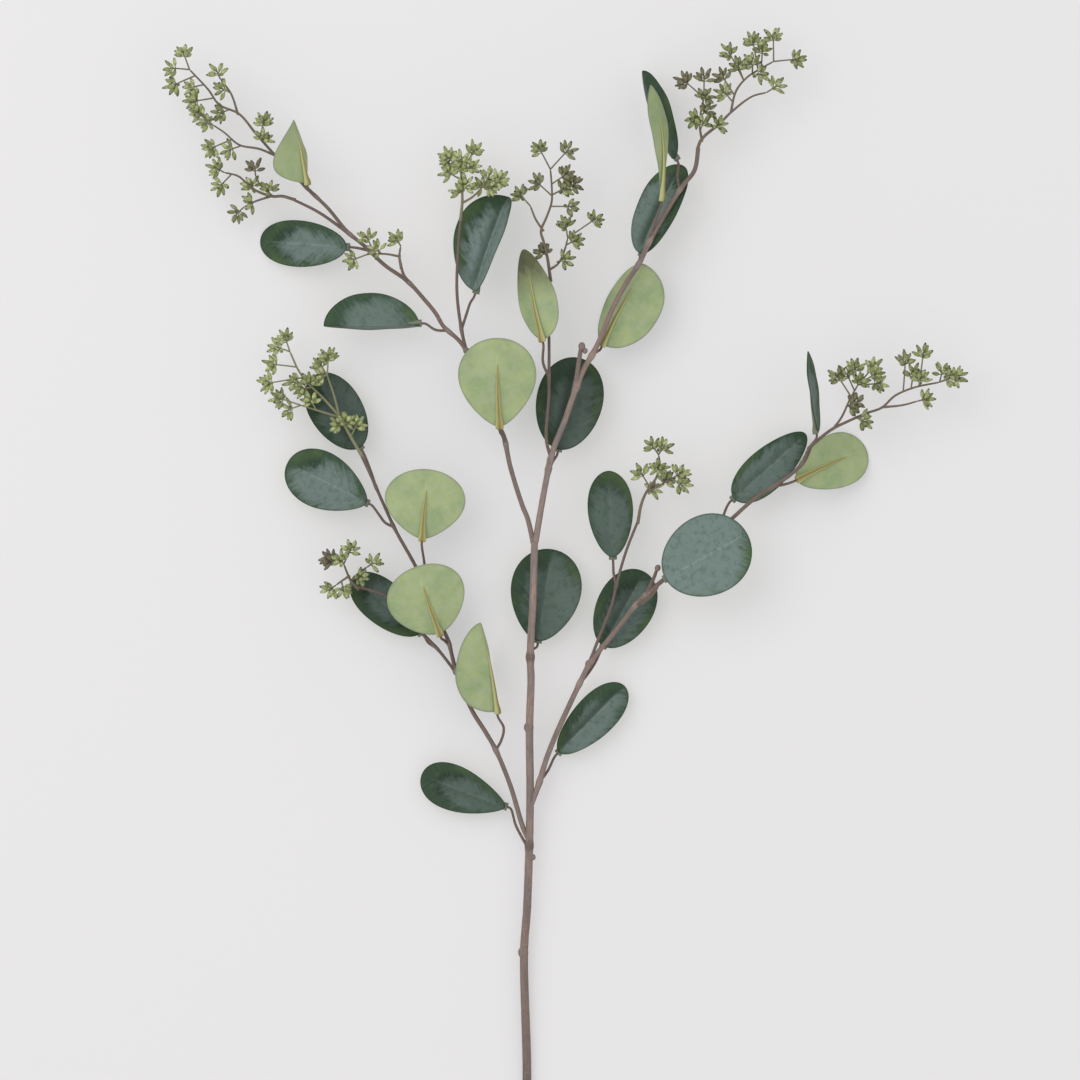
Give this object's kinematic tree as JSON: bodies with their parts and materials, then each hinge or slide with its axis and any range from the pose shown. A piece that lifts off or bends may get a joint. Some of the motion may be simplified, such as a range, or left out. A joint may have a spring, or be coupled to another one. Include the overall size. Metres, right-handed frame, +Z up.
{
  "type": "eucalyptus gum nut sprig",
  "caption": "Branched eucalyptus stem lying flat, with round blue-green leaves, some showing pale undersides, and sprays of small pointed gum nuts.",
  "frame": {"origin": "flat spot under the main stem near its cut end, on the surface that the sprig lies on", "axes": "+Y up the sprig from its cut end, +X to the right seen from above, +Z up from the surface"},
  "size_m": [0.6056, 0.8802, 0.0596],
  "materials": {
    "bark": "mauve-brown moulded bark",
    "leaf_upper_face": "printed fabric, deep green with a blue-grey bloom",
    "leaf_underside": "printed fabric, light green with a golden moulded rib",
    "nuts": "light green with dark tips"
  },
  "bodies": {
    "root": {"main_stem": "bark", "upper_right_branch": "bark", "upper_left_branch": "bark", "lower_left_branch": "bark", "lower_right_branch": "bark", "leaf_stem_1": "leaf_upper_face", "leaf_stem_2": "leaf_upper_face", "leaf_lower_left_1": "leaf_underside", "leaf_lower_left_2": "leaf_underside", "leaf_lower_left_3": "leaf_underside", "leaf_lower_left_4": "leaf_upper_face", "leaf_lower_left_5": "leaf_upper_face", "leaf_lower_left_6": "leaf_upper_face", "leaf_lower_right_1": "leaf_upper_face", "leaf_lower_right_2": "leaf_upper_face", "leaf_lower_right_3": "leaf_upper_face", "leaf_lower_right_4": "leaf_upper_face", "leaf_lower_right_5": "leaf_upper_face", "leaf_lower_right_6": "leaf_underside", "leaf_lower_right_7": "leaf_upper_face", "leaf_upper_left_1": "leaf_underside", "leaf_upper_left_2": "leaf_upper_face", "leaf_upper_left_3": "leaf_upper_face", "leaf_upper_left_4": "leaf_upper_face", "leaf_upper_left_5": "leaf_underside", "leaf_upper_right_1": "leaf_upper_face", "leaf_upper_right_2": "leaf_underside", "leaf_upper_right_3": "leaf_underside", "leaf_upper_right_4": "leaf_upper_face", "leaf_upper_right_5": "leaf_upper_face", "leaf_upper_right_6": "leaf_underside", "nut_spray_upper_left_tip": "nuts", "nut_spray_upper_left_low": "nuts", "nut_spray_upper_left_side": "nuts", "nut_spray_upper_left_inner": "nuts", "nut_spray_centre": "nuts", "nut_spray_upper_right_tip": "nuts", "nut_spray_lower_left_tip": "nuts", "nut_spray_lower_left_side": "nuts", "nut_spray_lower_right_inner": "nuts", "nut_spray_lower_right_tip": "nuts"}
  },
  "joints": []
}
